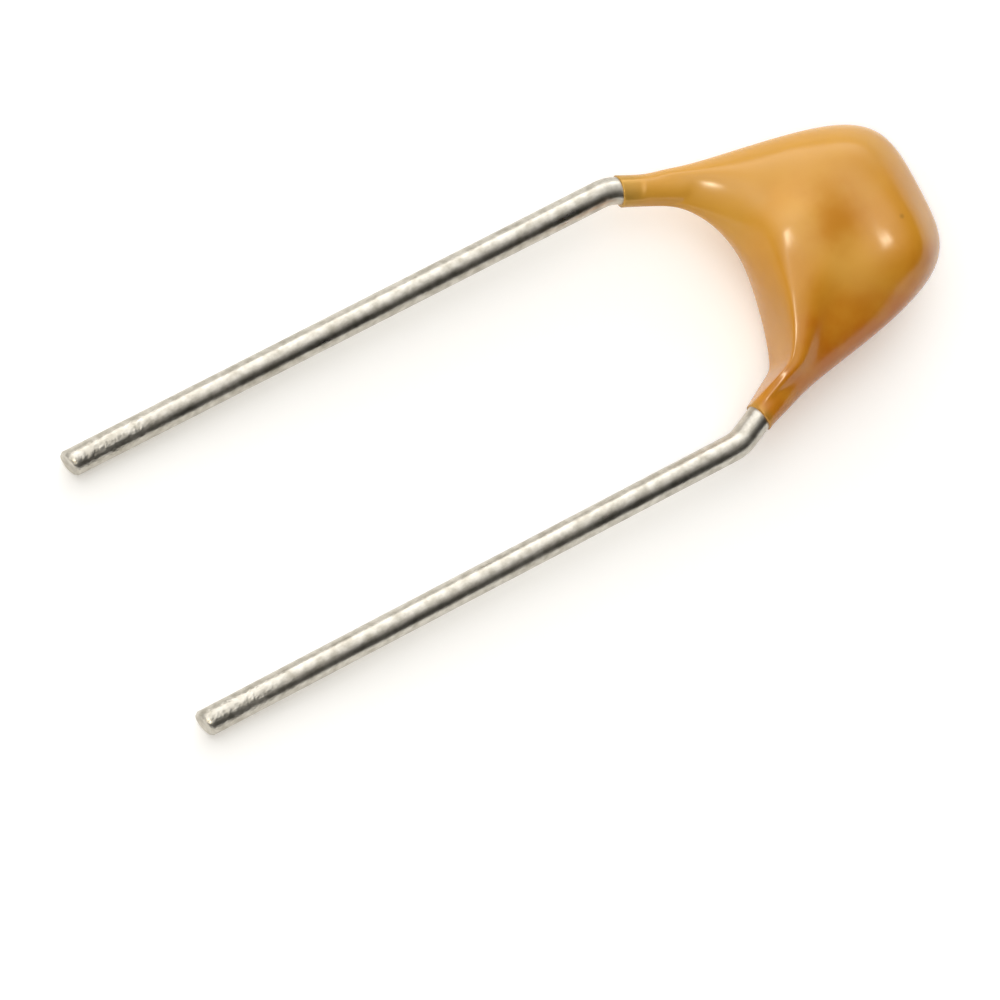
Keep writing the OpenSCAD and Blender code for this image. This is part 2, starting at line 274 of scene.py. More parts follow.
dressed = add(tree, "GeometryNodeSetMaterial", {"Geometry": plain.outputs[0], "Material": given["Finish"]})
add(tree, "NodeGroupOutput", {"Wire": dressed.outputs[0]})

# Hot-dipped tin, dulled by handling: bright and dull patches, and fine drawing marks along the wire
tin, shading = new_material("tinned_copper_wire")
coords = add(shading, "ShaderNodeTexCoord").outputs["Object"]
along = add(
    shading,
    "ShaderNodeMapping",
    {"Vector": coords, "Rotation": (0, -tilt, 0), "Scale": (0.25, 1.0, 1.0)},
).outputs[0]
streaks = add(
    shading, "ShaderNodeTexNoise", {"Vector": along, "Scale": 1 / (0.25 * MM), "Detail": 6.0}
).outputs[0]
wire_colour = blotched(shading, coords, 0.18 * MM, 0.3, 0.65, "#A7A194", "#CDC8BD")
gloss = add(shading, "ShaderNodeMapRange", {"Value": streaks, "To Min": 0.2, "To Max": 0.45}).outputs[0]
ridges = add(
    shading, "ShaderNodeBump", {"Height": streaks, "Strength": 0.35, "Distance": 0.012 * MM}
).outputs[0]
# the jaws that held the wire at its tip left it pitted
from_tip = add(shading, "ShaderNodeSeparateXYZ", {0: coords}).outputs["X"]
held = add(
    shading,
    "ShaderNodeMapRange",
    {"Value": from_tip, "From Min": -7.0 * MM, "From Max": -6.2 * MM, "To Min": 0.55, "To Max": 0.12},
).outputs[0]
pits = add(
    shading, "ShaderNodeTexNoise", {"Vector": coords, "Scale": 1 / (0.09 * MM), "Detail": 3.0}
).outputs[0]
ridges = add(
    shading,
    "ShaderNodeBump",
    {"Height": pits, "Strength": held, "Distance": 0.03 * MM, "Normal": ridges},
).outputs[0]
surface = add(
    shading,
    "ShaderNodeBsdfPrincipled",
    {"Base Color": wire_colour, "Metallic": 1.0, "Roughness": gloss, "Normal": ridges},
)
add(shading, "ShaderNodeOutputMaterial", {"Surface": surface.outputs[0]})

for lead, side in (("left_lead", 1), ("right_lead", -1)):
    corners = [
        (0, side * LEAD_PITCH / 2 * MM, 0),
        (FIRST_BEND * MM, side * LEAD_PITCH / 2 * MM, 0),
        (second_bend * MM, side * inner_y * MM, 0),
        (lead_end * MM, side * inner_y * MM, 0),
    ]
    path_mesh = bpy.data.meshes.new(lead + "_path")
    path_mesh.from_pydata(corners, [(0, 1), (1, 2), (2, 3)], [])
    base = bpy.data.objects.new(lead + "_path", path_mesh)
    bpy.context.scene.collection.objects.link(base)
    sweep = base.modifiers.new("bent_wire", "NODES")
    sweep.node_group = tree
    for label, value in (
        ("Wire Radius", WIRE_RADIUS * MM),
        ("Bend Radius", BEND_RADIUS * MM),
        ("Point Spacing", 0.05 * MM),
        ("Slant", slant),
        ("Slant Fade", SLANT_FADE * MM),
        ("Axis Y", side * LEAD_PITCH / 2 * MM),
        ("Tip Chamfer", TIP_CHAMFER * MM),
        ("Tip Press", TIP_PRESS),
        ("Dent Depth", DENT_DEPTH * MM),
        ("Dent Scale", 1 / (DENT_SPACING * MM)),
        ("Finish", tin),
    ):
        sweep[sizes[label].identifier] = value
    bpy.context.view_layer.update()
    wire_mesh = bpy.data.meshes.new_from_object(
        base.evaluated_get(bpy.context.evaluated_depsgraph_get())
    )
    bpy.data.objects.remove(base)
    wire_mesh.name = lead + "_wire"
    wire_mesh.transform(lying)
    wire = bpy.data.objects.new(lead + "_wire", wire_mesh)
    bpy.context.scene.collection.objects.link(wire)
    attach(wire, "root")
    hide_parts(lead)

# ---------------------------------------------------------------------------
# Solder. Bright tin solder that has flowed between each lead and its end cap
# and frozen with a smooth, slightly rippled skin.
# ---------------------------------------------------------------------------
fillet, tree = new_material("frozen_tin_solder")
coords = add(tree, "ShaderNodeTexCoord").outputs["Object"]
ripple = add(tree, "ShaderNodeTexNoise", {"Vector": coords, "Scale": 1 / (0.3 * MM)}).outputs[0]
flowed = add(tree, "ShaderNodeBump", {"Height": ripple, "Strength": 0.3, "Distance": 0.02 * MM}).outputs[0]
solder_colour = blotched(tree, coords, 0.3 * MM, 0.35, 0.7, "#B4B3AE", "#CFCFCB")
surface = add(
    tree,
    "ShaderNodeBsdfPrincipled",
    {"Base Color": solder_colour, "Metallic": 1.0, "Roughness": 0.22, "Normal": flowed},
)
add(tree, "ShaderNodeOutputMaterial", {"Surface": surface.outputs[0]})
for node in ("left_solder", "right_solder"):
    dress(node, fillet)

# ---------------------------------------------------------------------------
# Coat. The soldered chip is dipped head first in ochre epoxy and hung by its
# leads: the resin sags to the head, thins over the legs and draws up an arch
# between them. Its skin is a fan of sections from the left leg to the right.
# ---------------------------------------------------------------------------
# sizes in millimetres, angles in degrees
COAT_START = 0.35
LEFT_END_SHIFT = -0.17
RIGHT_END_SHIFT = 0.25
END_SLANT = 10.0
LEG_COVER = 0.025
ARCH_RISE = 1.4
LEFT_ARCH_INSET = 0.27
RIGHT_ARCH_INSET = -0.29
CHIP_THICKNESS = 1.25
SIDE_COVER = 0.407
TOP_COVER = 0.825
FACE_COVER = 0.152
SWELL_UP = 0.49
SECTIONS = 300
SECTION_POINTS = 160

leg_radius = WIRE_RADIUS + LEG_COVER
chip_middle = chip_start + CHIP_HEIGHT / 2
wire_reach = (LEAD_PITCH / 2 - COAT_START * math.tan(math.radians(SPLAY))) / math.cos(math.radians(SPLAY))
fan_centre = FIRST_BEND + COAT_START - wire_reach * math.sin(math.radians(SPLAY))
coat_sizes = {
    # the two legs and the slanted ends of the coat on them
    "Splay": SPLAY,
    "Wire Reach": wire_reach,
    "Leg Radius": leg_radius,
    "Fan Centre": fan_centre,
    "Left End": LEFT_END_SHIFT,
    "Right End": RIGHT_END_SHIFT,
    "End Lean": leg_radius * math.tan(math.radians(END_SLANT)),
    # the hollow arch between the legs
    "Left Arch": wire_reach - LEFT_ARCH_INSET,
    "Right Arch": wire_reach - RIGHT_ARCH_INSET,
    "Arch Height": FIRST_BEND + COAT_START + ARCH_RISE - fan_centre,
    "Arch Power": 2.22,
    "Arch Blend": 0.1,
    # the outline of the body, which changes from its left half to its right one
    "Right From": 70.0,
    "Right To": 110.0,
    "Half Width": inner_y + WIRE_RADIUS + SIDE_COVER,
    "Lopside": 0.043,
    "Flank Draft": 7.4,
    "Crease": 0.03,
    "Flank Blend": 0.19,
    "Blend From": SPLAY,
    "Blend To": SPLAY + 16,
    "Flank Height": chip_middle - fan_centre,
    "Body Height": lead_end + TOP_COVER - fan_centre,
    "Left Shoulder": 6.8,
    "Right Shoulder": 5.7,
    # its thickness, with the swelling over the chip and the rounding at the top and the rim
    "Half Thickness": CHIP_THICKNESS / 2 + FACE_COVER,
    "Swell": 0.4775,
    "Swell Height": chip_middle + SWELL_UP - fan_centre,
    "Swell Right": 0.74,
    "Swell Long": 0.655,
    "Swell Wide": 1.84,
    "Side Power": 3.0,
    "Crown Length": 1.75,
    "Crown Power": 3.08,
    "Rim Power": 0.55,
    # the web that climbs from the arch, and its fold with the body, which is sharper further up
    "Web Length": 0.735,
    "Web Drift": 0.057,
    "Web Height": 1.305,
    "Web Power": 1.12,
    "Ridge Power": 7.5,
    "Ridge Gain": 3.9,
    "Ridge Gain From": 1.2,
    "Ridge Gain To": 2.1,
    # the crest above the fold and the lip along the arch, as shares of the height there
    "Crest": 0.166,
    "Crest At": 1.22,
    "Crest Drift": 0.018,
    "Crest Wide": 0.6,
    "Crest From": SPLAY + 44,
    "Crest To": SPLAY + 58,
    "Crest Fade From": 98.0,
    "Crest Fade To": 114.0,
    "Lip": 0.163,
    "Lip At": 0.896,
    "Lip Drift": 0.036,
    "Lip Wide": 0.806,
    "Lip Spread": 1.2,
    "Lip From": SPLAY + 17,
    "Lip To": SPLAY + 44.4,
    # where the round legs turn into the body, sooner on the left, and where the wires' cover fades
    "Body From": SPLAY + 2,
    "Body To": SPLAY + 28.3,
    "Left Body Lead": -3.7,
    "Tube From": SPLAY,
    "Tube To": SPLAY + 6,
    "Tube Fade From": SPLAY + 20,
    "Tube Fade To": SPLAY + 38,
    "Leg Power": 8.0,
    # how far the thin film reaches from both ends, as shares of the way from leg to leg
    "Left Film": 0.115,
    "Right Film": 0.96,
    "Right Film End": 1.01,
}

# One step a line: its name, what is done, and what it is done to. A name is a size above, a step
# before, or a place on the sleeve that is bent into the coat: how far along it, and the cosine and
# sine of the roll once around a section. GROWN rises smoothly from 0 to 1 between two bounds.
STEPS = [
    ("share", "ADD", "along sleeve", 0.5),
    ("minus cosine", "MULTIPLY", "roll cosine", -1.0),
    # the coat's slanted ends on both wires, as angles in the fan
    ("reach at end", "MULTIPLY_ADD", "Leg Radius", "minus cosine", "Wire Reach"),
    ("left end", "MULTIPLY_ADD", "End Lean", "roll cosine", "Left End"),
    ("left end angle", "ARCTAN2", "left end", "reach at end"),
    ("left end turn", "DEGREES", "left end angle"),
    ("first turn", "ADD", "left end turn", "Splay"),
    ("right end", "MULTIPLY_ADD", "End Lean", "roll cosine", "Right End"),
    ("right end angle", "ARCTAN2", "right end", "reach at end"),
    ("right end turn", "DEGREES", "right end angle"),
    ("right end fold", "ADD", "right end turn", "Splay"),
    ("last turn", "SUBTRACT", 180.0, "right end fold"),
    # the section's angle in the fan, and that angle counted from the nearer leg
    ("fan span", "SUBTRACT", "last turn", "first turn"),
    ("turn", "MULTIPLY_ADD", "share", "fan span", "first turn"),
    ("past middle", "SUBTRACT", "turn", 90.0),
    ("off middle", "ABSOLUTE", "past middle"),
    ("folded", "SUBTRACT", 90.0, "off middle"),
    ("turn angle", "RADIANS", "turn"),
    ("rise", "SINE", "turn angle"),
    ("sideways", "COSINE", "turn angle"),
    # distance to the wire
    ("from leg", "SUBTRACT", "folded", "Splay"),
    ("from leg angle", "RADIANS", "from leg"),
    ("leg slope", "COSINE", "from leg angle"),
    ("wire at", "DIVIDE", "Wire Reach", "leg slope"),
    ("wire inside", "SUBTRACT", "wire at", "Leg Radius"),
    ("wire outside", "ADD", "wire at", "Leg Radius"),
    # distance to the arch
    ("right part", "GROWN", "turn", "Right From", "Right To"),
    ("arch gain", "SUBTRACT", "Right Arch", "Left Arch"),
    ("arch side", "MULTIPLY_ADD", "right part", "arch gain", "Left Arch"),
    ("width share", "DIVIDE", "sideways", "arch side"),
    ("bare width share", "ABSOLUTE", "width share"),
    ("width part", "POWER", "bare width share", "Arch Power"),
    ("height share", "DIVIDE", "rise", "Arch Height"),
    ("height part", "POWER", "height share", "Arch Power"),
    ("both parts", "ADD", "width part", "height part"),
    ("arch root", "DIVIDE", -1.0, "Arch Power"),
    ("arch at", "POWER", "both parts", "arch root"),
    ("arch gap", "SUBTRACT", "arch at", "wire inside"),
    ("arch gap square", "MULTIPLY", "arch gap", "arch gap"),
    ("arch blend square", "MULTIPLY_ADD", "Arch Blend", "Arch Blend", "arch gap square"),
    ("arch spread", "SQRT", "arch blend square"),
    ("arch sum", "ADD", "arch at", "wire inside"),
    ("near twice", "SUBTRACT", "arch sum", "arch spread"),
    ("near", "MULTIPLY", "near twice", 0.5),
    # distance to the outside: the flank, the top and the shoulder between them
    ("left to right", "MULTIPLY_ADD", "right part", -2.0, 1.0),
    ("half width", "MULTIPLY_ADD", "left to right", "Lopside", "Half Width"),
    ("draft angle", "RADIANS", "Flank Draft"),
    ("draft rise", "SINE", "draft angle"),
    ("draft side", "COSINE", "draft angle"),
    ("square flank", "MULTIPLY", "half width", "draft side"),
    ("flank reach", "MULTIPLY_ADD", "Flank Height", "draft rise", "square flank"),
    ("off draft", "SUBTRACT", "folded", "Flank Draft"),
    ("off draft angle", "RADIANS", "off draft"),
    ("flank slope", "COSINE", "off draft angle"),
    ("flank at", "DIVIDE", "flank reach", "flank slope"),
    ("flank gap", "SUBTRACT", "wire outside", "flank at"),
    ("flank gap square", "MULTIPLY", "flank gap", "flank gap"),
    ("blend part", "GROWN", "folded", "Blend From", "Blend To"),
    ("blend width", "MULTIPLY_ADD", "blend part", "Flank Blend", "Crease"),
    ("flank blend square", "MULTIPLY_ADD", "blend width", "blend width", "flank gap square"),
    ("flank spread", "SQRT", "flank blend square"),
    ("flank sum", "ADD", "wire outside", "flank at"),
    ("side twice", "ADD", "flank sum", "flank spread"),
    ("side at", "MULTIPLY", "side twice", 0.5),
    ("top at", "DIVIDE", "Body Height", "rise"),
    ("shoulder gap", "SUBTRACT", "Left Shoulder", "Right Shoulder"),
    ("less squareness", "SUBTRACT", "right part", 1.0),
    ("left surplus", "MULTIPLY", "shoulder gap", "less squareness"),
    ("shoulder", "SUBTRACT", "left surplus", "Right Shoulder"),
    ("side part", "POWER", "side at", "shoulder"),
    ("top part", "POWER", "top at", "shoulder"),
    ("corner", "ADD", "side part", "top part"),
    ("shoulder root", "DIVIDE", 1.0, "shoulder"),
    ("far", "POWER", "corner", "shoulder root"),
    # the point's own distance from the arch and from the fan's centre
    ("width", "SUBTRACT", "far", "near"),
    ("across", "MULTIPLY_ADD", "roll cosine", -0.5, 0.5),
    ("from arch", "MULTIPLY", "width", "across"),
    ("reach", "ADD", "near", "from arch"),
    ("height", "MULTIPLY", "reach", "rise"),
    ("side", "MULTIPLY", "reach", "sideways"),
    ("far height", "MULTIPLY", "far", "rise"),
    ("far side", "MULTIPLY", "far", "sideways"),
    ("crown base", "SUBTRACT", "Body Height", "Crown Length"),
]
for here in ("", "far "):
    # how near to the outline of the body: 0 on its middle line and about 1 at the outline
    STEPS += [
        (here + "lost width", "MULTIPLY", here + "height", "draft rise"),
        (here + "kept width", "SUBTRACT", "flank reach", here + "lost width"),
        (here + "body width", "DIVIDE", here + "kept width", "draft side"),
        (here + "side share", "DIVIDE", here + "side", here + "body width"),
        (here + "bare side share", "ABSOLUTE", here + "side share"),
        (here + "side fall", "POWER", here + "bare side share", "Side Power"),
        (here + "above base", "SUBTRACT", here + "height", "crown base"),
        (here + "crown rise", "MAXIMUM", here + "above base", 0.0),
        (here + "crown share", "DIVIDE", here + "crown rise", "Crown Length"),
        (here + "crown fall", "POWER", here + "crown share", "Crown Power"),
        (here + "gauge", "ADD", here + "side fall", here + "crown fall"),
    ]
STEPS += [
    ("outward share", "DIVIDE", "gauge", "far gauge"),
    ("inward share", "SUBTRACT", 1.0, "outward share"),
    ("inside", "MAXIMUM", "inward share", 0.0),
    ("rim", "POWER", "inside", "Rim Power"),
    # the body's half thickness, with the swelling of the resin that ran to the head
    ("up to swell", "SUBTRACT", "height", "Swell Height"),
    ("up share", "DIVIDE", "up to swell", "Swell Long"),
    ("up square", "MULTIPLY", "up share", "up share"),
    ("side to swell", "ADD", "side", "Swell Right"),
    ("swell side share", "DIVIDE", "side to swell", "Swell Wide"),
    ("to swell square", "MULTIPLY_ADD", "swell side share", "swell side share", "up square"),
    ("swell fall", "MULTIPLY", "to swell square", -1.0),
    ("swelling", "EXPONENT", "swell fall"),
    ("full thickness", "MULTIPLY_ADD", "Swell", "swelling", "Half Thickness"),
    ("body", "MULTIPLY", "full thickness", "rim"),
    # the web that climbs from the arch, longer towards the left leg
    ("web growth", "MULTIPLY", "past middle", "Web Drift"),
    ("web fall", "MULTIPLY", "web growth", -1.0),
    ("web scale", "EXPONENT", "web fall"),
    ("web length", "MULTIPLY", "Web Length", "web scale"),
    ("web share", "DIVIDE", "from arch", "web length"),
    ("web left over", "SUBTRACT", 1.0, "web share"),
    ("web rest", "MAXIMUM", "web left over", 0.0),
    ("web bend", "POWER", "web rest", "Web Power"),
    ("web square", "SUBTRACT", 1.0, "web bend"),
    ("web rise", "SQRT", "web square"),
    ("web", "MULTIPLY", "Web Height", "web rise"),
    # the fold between web and body, sharper further from the arch
    ("some web", "MAXIMUM", "web", 0.001),
    ("some body", "MAXIMUM", "body", 0.001),
    ("beyond fold", "GROWN", "from arch", "Ridge Gain From", "Ridge Gain To"),
    ("fold power", "MULTIPLY_ADD", "beyond fold", "Ridge Gain", "Ridge Power"),
    ("fold sharpness", "MULTIPLY", "fold power", -1.0),
    ("web weight", "POWER", "some web", "fold sharpness"),
    ("body weight", "POWER", "some body", "fold sharpness"),
    ("both weights", "ADD", "web weight", "body weight"),
    ("fold root", "DIVIDE", 1.0, "fold sharpness"),
    ("joined", "POWER", "both weights", "fold root"),
    # the crest above the fold
    ("crest turn", "MULTIPLY", "past middle", "Crest Drift"),
    ("crest scale", "ADD", "crest turn", 1.0),
    ("crest place", "MULTIPLY", "Crest At", "crest scale"),
    ("to crest", "SUBTRACT", "from arch", "crest place"),
    ("crest share", "DIVIDE", "to crest", "Crest Wide"),
    ("crest square", "MULTIPLY", "crest share", "crest share"),
    ("crest fall", "MULTIPLY", "crest square", -1.0),
    ("crest hill", "EXPONENT", "crest fall"),
    ("crest in", "GROWN", "turn", "Crest From", "Crest To"),
    ("crest out", "GROWN", "turn", "Crest Fade To", "Crest Fade From"),
    ("crest span", "MULTIPLY", "crest in", "crest out"),
    ("crest part", "MULTIPLY", "crest hill", "crest span"),
    ("crest swell", "MULTIPLY_ADD", "Crest", "crest part", 1.0),
    # the lip along the arch
    ("lip growth", "MULTIPLY", "past middle", "Lip Drift"),
    ("lip fall", "MULTIPLY", "lip growth", -1.0),
    ("lip scale", "EXPONENT", "lip fall"),
    ("lip place", "MULTIPLY", "Lip At", "lip scale"),
    ("lip spread", "POWER", "lip scale", "Lip Spread"),
    ("lip width", "MULTIPLY", "Lip Wide", "lip spread"),
    ("to lip", "SUBTRACT", "from arch", "lip place"),
    ("lip share", "DIVIDE", "to lip", "lip width"),
    ("lip square", "MULTIPLY", "lip share", "lip share"),
    ("lip drop", "MULTIPLY", "lip square", -1.0),
    ("lip hill", "EXPONENT", "lip drop"),
    ("lip in", "GROWN", "turn", "Lip From", "Lip To"),
    ("lip part", "MULTIPLY", "lip hill", "lip in"),
    ("lip swell", "MULTIPLY_ADD", "Lip", "lip part", 1.0),
    # from the round leg to the full body, and the wire's own cover on both
    ("is left", "LESS_THAN", "turn", 90.0),
    ("body end", "MULTIPLY_ADD", "is left", "Left Body Lead", "Body To"),
    ("body share", "GROWN", "folded", "Body From", "body end"),
    ("leg share", "SUBTRACT", 1.0, "body share"),
    ("bare roll", "ABSOLUTE", "roll sine"),
    ("round leg", "MULTIPLY", "Leg Radius", "bare roll"),
    ("leg part", "MULTIPLY", "round leg", "leg share"),
    ("crested", "MULTIPLY", "joined", "crest swell"),
    ("lipped", "MULTIPLY", "crested", "lip swell"),
    ("plain", "MULTIPLY_ADD", "lipped", "body share", "leg part"),
    ("past wire", "SUBTRACT", "reach", "wire at"),
    ("off wire", "MULTIPLY", "past wire", "leg slope"),
    ("off wire square", "MULTIPLY", "off wire", "off wire"),
    ("leg square", "MULTIPLY", "Leg Radius", "Leg Radius"),
    ("left of square", "SUBTRACT", "leg square", "off wire square"),
    ("tube square", "MAXIMUM", "left of square", 0.0),
    ("tube height", "SQRT", "tube square"),
    ("tube in", "GROWN", "folded", "Tube From", "Tube To"),
    ("tube out", "GROWN", "folded", "Tube Fade To", "Tube Fade From"),
    ("tube share", "MULTIPLY", "tube in", "tube out"),
    ("tube", "MULTIPLY", "tube height", "tube share"),
    ("plain weight", "POWER", "plain", "Leg Power"),
    ("tube weight", "POWER", "tube", "Leg Power"),
    ("leg weights", "ADD", "plain weight", "tube weight"),
    ("leg root", "DIVIDE", 1.0, "Leg Power"),
    ("half thickness", "POWER", "leg weights", "leg root"),
    ("face", "SIGN", "roll sine"),
    ("depth", "MULTIPLY", "half thickness", "face"),
    ("length", "ADD", "height", "Fan Centre"),
    # where the film is so thin, at its two ends, that the wire shows through
    ("left film", "GROWN", "share", "Left Film", 0.0),
    ("right film", "GROWN", "share", "Right Film", "Right Film End"),
    ("film", "MAXIMUM", "left film", "right film"),
]

tree = bpy.data.node_groups.new("dipped_coat", "GeometryNodeTree")
sizes = {}
for label in coat_sizes:
    sizes[label] = tree.interface.new_socket(label, in_out="INPUT", socket_type="NodeSocketFloat")
for label in ("Sections", "Around"):
    sizes[label] = tree.interface.new_socket(label, in_out="INPUT", socket_type="NodeSocketInt")
sizes["Finish"] = tree.interface.new_socket("Finish", in_out="INPUT", socket_type="NodeSocketMaterial")
tree.interface.new_socket("Coat", in_out="OUTPUT", socket_type="NodeSocketGeometry")
given = add(tree, "NodeGroupInput").outputs
sleeve = add(
    tree,
    "GeometryNodeMeshCylinder",
    {"Vertices": given["Around"], "Side Segments": given["Sections"], "Radius": 1.0, "Depth": 1.0},
    fill_type="NGON",
)
place = add(tree, "GeometryNodeInputPosition").outputs[0]
split = add(tree, "ShaderNodeSeparateXYZ", {0: place}).outputs
value = {label: given[label] for label in coat_sizes}
value.update({"roll cosine": split["X"], "roll sine": split["Y"], "along sleeve": split["Z"]})
for name, step, *terms in STEPS:
    terms = [value[term] if isinstance(term, str) else term for term in terms]
    if step == "GROWN":
        node = add(
            tree,
            "ShaderNodeMapRange",
            {"Value": terms[0], "From Min": terms[1], "From Max": terms[2]},
            interpolation_type="SMOOTHSTEP",
        )
    else:
        node = add(tree, "ShaderNodeMath", dict(enumerate(terms)), operation=step)
    value[name] = node.outputs[0]
point = {"X": value["length"], "Y": value["side"], "Z": value["depth"]}
point = add(tree, "ShaderNodeCombineXYZ", point).outputs[0]
true_size = add(tree, "ShaderNodeVectorMath", {0: point, "Scale": MM}, operation="SCALE").outputs[0]
marked = sleeve.outputs["Mesh"]
for label, step in (("film", "film"), ("crest", "crest part")):
    marked = add(
        tree,
        "GeometryNodeStoreNamedAttribute",
        {"Geometry": marked, "Name": label, "Value": value[step]},
        data_type="FLOAT",
        domain="POINT",
    ).outputs[0]
formed = add(tree, "GeometryNodeSetPosition", {"Geometry": marked, "Position": true_size})
outward = add(tree, "GeometryNodeFlipFaces", {"Mesh": formed.outputs[0]})
smooth = add(tree, "GeometryNodeSetShadeSmooth", {"Geometry": outward.outputs[0]})
plain = add(tree, "GeometryNodeRealizeInstances", {"Geometry": smooth.outputs[0]})
dressed = add(tree, "GeometryNodeSetMaterial", {"Geometry": plain.outputs[0], "Material": given["Finish"]})
add(tree, "NodeGroupOutput", {"Coat": dressed.outputs[0]})

# Pigmented epoxy, dipped and cured: a glossy ochre in clouds about a millimetre wide, with painted shade
# that deepens it to the right, painted light that pales it on the left and a painted highlight along the
# crest, and olive where its film thins over the wires
FACE_SHADE_SPOT = Vector((6.16, 0.22, 2.10)) * MM
SPECK = Vector((7.243, -0.271, 2.306)) * MM
epoxy, shading = new_material("dipped_epoxy")
coords = add(shading, "ShaderNodeTexCoord").outputs["Object"]
coat_colour = blotched(shading, coords, 1.2 * MM, 0.3, 0.7, "#BF8323", "#CA8D2C")
across_coat = add(shading, "ShaderNodeSeparateXYZ", {0: coords}).outputs["Y"]
clouds = add(
    shading, "ShaderNodeTexNoise", {"Vector": coords, "Scale": 1 / (0.7 * MM), "Detail": 3.0}
).outputs[0]
along_coat = add(shading, "ShaderNodeSeparateXYZ", {0: coords}).outputs["X"]
on_legs = add(
    shading,
    "ShaderNodeMapRange",
    {"Value": along_coat, "From Min": 5.0 * MM, "From Max": 3.6 * MM, "To Max": 1.0 * MM},
).outputs[0]
# the place across the coat that sets the painted shade on the right and the painted light on the left, moved
# towards the light on the legs and made ragged by the clouds
light_and_shade_place = add(shading, "ShaderNodeMath", {0: on_legs, 1: across_coat}, operation="ADD").outputs[0]
stirred = {0: clouds, 1: 1.6 * MM, 2: light_and_shade_place}
light_and_shade_place = add(shading, "ShaderNodeMath", stirred, operation="MULTIPLY_ADD").outputs[0]
# each tint sets in at the first place across the coat and has its full share at the second: the first is
# painted shade, the second painted light
for start, stop, most, tint in (
    # painted shade, deeper towards the right flank
    (0.2 * MM, -1.3 * MM, 1.0, "#B1640C"),
    # painted light, paler towards the left
    (0.8 * MM, 2.4 * MM, 0.5, "#CE9C42"),
):
    painted_light_and_shade = add(
        shading,
        "ShaderNodeMapRange",
        {"Value": light_and_shade_place, "From Min": start, "From Max": stop, "To Max": most},
        interpolation_type="SMOOTHSTEP",
    ).outputs[0]
    coat_colour = add(
        shading, "ShaderNodeMix", {0: painted_light_and_shade, 6: coat_colour, 7: linear(tint)}, data_type="RGBA"
    ).outputs[2]
edge = add(shading, "ShaderNodeAttribute", attribute_name="film").outputs["Fac"]
ragged = add(shading, "ShaderNodeMath", {0: clouds, 1: 0.5, 2: edge}, operation="MULTIPLY_ADD").outputs[0]
# the crest's share, which carries a painted highlight along the crest
crest = add(shading, "ShaderNodeAttribute", attribute_name="crest").outputs["Fac"]
# painted shade: a darker cloud in the middle of the face; and beside it a speck of charred resin
to_face_shade, to_speck = [
    add(shading, "ShaderNodeVectorMath", {0: coords, 1: spot}, operation="DISTANCE").outputs["Value"]
    for spot in (FACE_SHADE_SPOT, SPECK)
]
face_shade_rim = {0: clouds, 1: 1.0 * MM, 2: to_face_shade}
to_face_shade = add(shading, "ShaderNodeMath", face_shade_rim, operation="MULTIPLY_ADD").outputs[0]
for measure, start, stop, most, tint in (
    # a painted highlight: a paler band along the crest
    (crest, 0.0, 1.0, 0.5, "#E0AC55"),
    (ragged, 0.2, 1.25, 0.5, "#B08E42"),
    # painted shade in the middle of the face, between the crest and the swelling
    (to_face_shade, 1.4 * MM, 0.5 * MM, 0.7, "#B8720C"),
    (to_speck, 0.07 * MM, 0.01 * MM, 0.45, "#7A5216"),
):
    part = add(
        shading,
        "ShaderNodeMapRange",
        {"Value": measure, "From Min": start, "From Max": stop, "To Max": most},
        interpolation_type="SMOOTHSTEP",
    ).outputs[0]
    coat_colour = add(
        shading, "ShaderNodeMix", {0: part, 6: coat_colour, 7: linear(tint)}, data_type="RGBA"
    ).outputs[2]
bare = add(
    shading, "ShaderNodeMapRange", {"Value": ragged, "From Min": 0.35, "From Max": 1.2, "To Max": 0.3}
).outputs[0]
sag = add(
    shading, "ShaderNodeTexNoise", {"Vector": coords, "Scale": 1 / (0.5 * MM), "Detail": 2.0}
).outputs[0]
peel = add(shading, "ShaderNodeBump", {"Height": sag, "Strength": 0.3, "Distance": 0.02 * MM}).outputs[0]
surface = add(
    shading,
    "ShaderNodeBsdfPrincipled",
    {
        "Base Color": coat_colour,
        "Metallic": bare,
        "Roughness": 0.22,
        "IOR": 1.5,
        "Specular IOR Level": 0.42,
        "Normal": peel,
    },
)
add(shading, "ShaderNodeOutputMaterial", {"Surface": surface.outputs[0]})

base = bpy.data.objects.new("coat_sleeve", bpy.data.meshes.new("coat_sleeve"))
bpy.context.scene.collection.objects.link(base)
dip = base.modifiers.new("dipped_coat", "NODES")
dip.node_group = tree
for label, size in coat_sizes.items():
    dip[sizes[label].identifier] = size
dip[sizes["Sections"].identifier] = SECTIONS
dip[sizes["Around"].identifier] = SECTION_POINTS
dip[sizes["Finish"].identifier] = epoxy
bpy.context.view_layer.update()
coat_mesh = bpy.data.meshes.new_from_object(base.evaluated_get(bpy.context.evaluated_depsgraph_get()))
bpy.data.objects.remove(base)
coat_mesh.name = "dipped_coat"
coat_mesh.transform(lying)
coat = bpy.data.objects.new("dipped_coat", coat_mesh)
bpy.context.scene.collection.objects.link(coat)
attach(coat, "root")
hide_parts("epoxy_coating")

# ---------------------------------------------------------------------------
# Floor. A round sheet of matt white paper that the part lies on. It is flat in
# the middle and sweeps up all round at its rim.
# ---------------------------------------------------------------------------
FLOOR_RADIUS = 0.42
RIM_HEIGHT = 0.10
RIM_STEPS = 12
SPOKES = 96
FLOOR_COLOUR = "#F7F7F7"
FLOOR_GLOW = 0.15

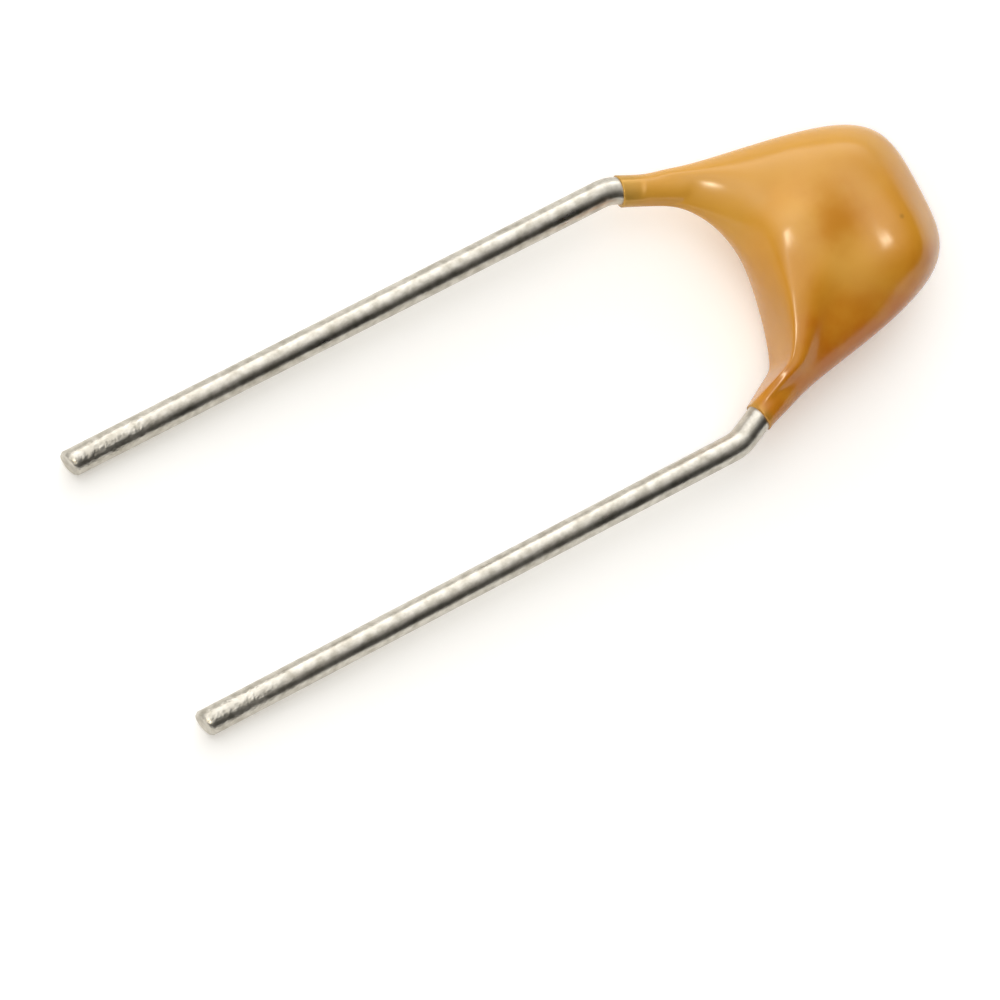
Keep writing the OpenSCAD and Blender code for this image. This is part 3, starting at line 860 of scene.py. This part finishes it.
rings = [(0.0, 0.0), (0.05, 0.0), (0.15, 0.0), (FLOOR_RADIUS - RIM_HEIGHT, 0.0)]
for step in range(1, RIM_STEPS + 1):
    bend = math.radians(90 * step / RIM_STEPS)
    rings.append(
        (FLOOR_RADIUS - RIM_HEIGHT + RIM_HEIGHT * math.sin(bend), RIM_HEIGHT * (1 - math.cos(bend)))
    )
points = [(0, 0, 0)]
faces = []
for ring, (radius, height) in enumerate(rings[1:]):
    for spoke in range(SPOKES):
        angle = 2 * math.pi * spoke / SPOKES
        points.append((radius * math.cos(angle), radius * math.sin(angle), height))
        following = (spoke + 1) % SPOKES
        if ring == 0:
            faces.append((0, 1 + spoke, 1 + following))
        else:
            inner, outer = 1 + (ring - 1) * SPOKES, 1 + ring * SPOKES
            faces.append((inner + spoke, outer + spoke, outer + following, inner + following))
floor_mesh = bpy.data.meshes.new("floor")
floor_mesh.from_pydata(points, [], faces)
for face in floor_mesh.polygons:
    face.use_smooth = True
floor = bpy.data.objects.new("floor", floor_mesh)
bpy.context.scene.collection.objects.link(floor)
paper, tree = new_material("matt_white_paper")
surface = add(
    tree,
    "ShaderNodeBsdfPrincipled",
    {
        "Base Color": linear(FLOOR_COLOUR),
        "Roughness": 0.9,
        "Specular IOR Level": 0.1,
        "Emission Color": linear("#FFFFFF"),
        "Emission Strength": FLOOR_GLOW,
    },
)
add(tree, "ShaderNodeOutputMaterial", {"Surface": surface.outputs[0]})
floor_mesh.materials.append(paper)

# ---------------------------------------------------------------------------
# Light. Broad soft boxes, most of them over the left of the part and one low
# behind its head, and one small lamp high over the lead tips.
# ---------------------------------------------------------------------------
SOFT_BOXES = [(60, 60, 0.55), (120, 60, 1.9), (180, 60, 0.55), (60, 6, 3.8)]  # turn, height, glow
SOFT_BOX_FALL = 6
LAMP_PLACE = Vector((-0.110, -0.006, 0.222))
LAMP_WIDTH = 0.020
LAMP_GLOW = 135.0
LAMP_COLOUR = "#FFF3D8"

world = bpy.data.worlds.new("studio")
world.use_nodes = True
tree = world.node_tree
tree.nodes.clear()
sky = add(tree, "ShaderNodeTexCoord").outputs["Generated"]
glow = 0.0
for turn, height, strength in SOFT_BOXES:
    turn, height = math.radians(turn), math.radians(height)
    middle = (math.cos(height) * math.cos(turn), math.cos(height) * math.sin(turn), math.sin(height))
    near = add(tree, "ShaderNodeVectorMath", {0: sky, 1: middle}, operation="DOT_PRODUCT").outputs["Value"]
    near = add(tree, "ShaderNodeMath", {0: near, 1: 0.0}, operation="MAXIMUM").outputs[0]
    near = add(tree, "ShaderNodeMath", {0: near, 1: SOFT_BOX_FALL}, operation="POWER").outputs[0]
    glow = add(tree, "ShaderNodeMath", {0: near, 1: strength, 2: glow}, operation="MULTIPLY_ADD").outputs[0]
studio = add(tree, "ShaderNodeBackground", {"Color": linear("#FFFFFF"), "Strength": glow})
add(tree, "ShaderNodeOutputWorld", {"Surface": studio.outputs[0]})
bpy.context.scene.world = world

lamp = bpy.data.lights.new("lamp", "AREA")
lamp.shape = "DISK"
lamp.color = linear(LAMP_COLOUR)[:3]
lamp.size = LAMP_WIDTH
lamp_area = math.pi / 4 * LAMP_WIDTH**2
lamp.energy = LAMP_GLOW * math.pi * lamp_area
lamp_object = bpy.data.objects.new("lamp", lamp)
lamp_object.location = LAMP_PLACE
lamp_object.rotation_euler = (-LAMP_PLACE).to_track_quat("-Z", "Y").to_euler()
lamp_object.visible_camera = False
bpy.context.scene.collection.objects.link(lamp_object)
bpy.context.scene.view_settings.view_transform = "Standard"
bpy.context.scene.view_settings.look = "None"
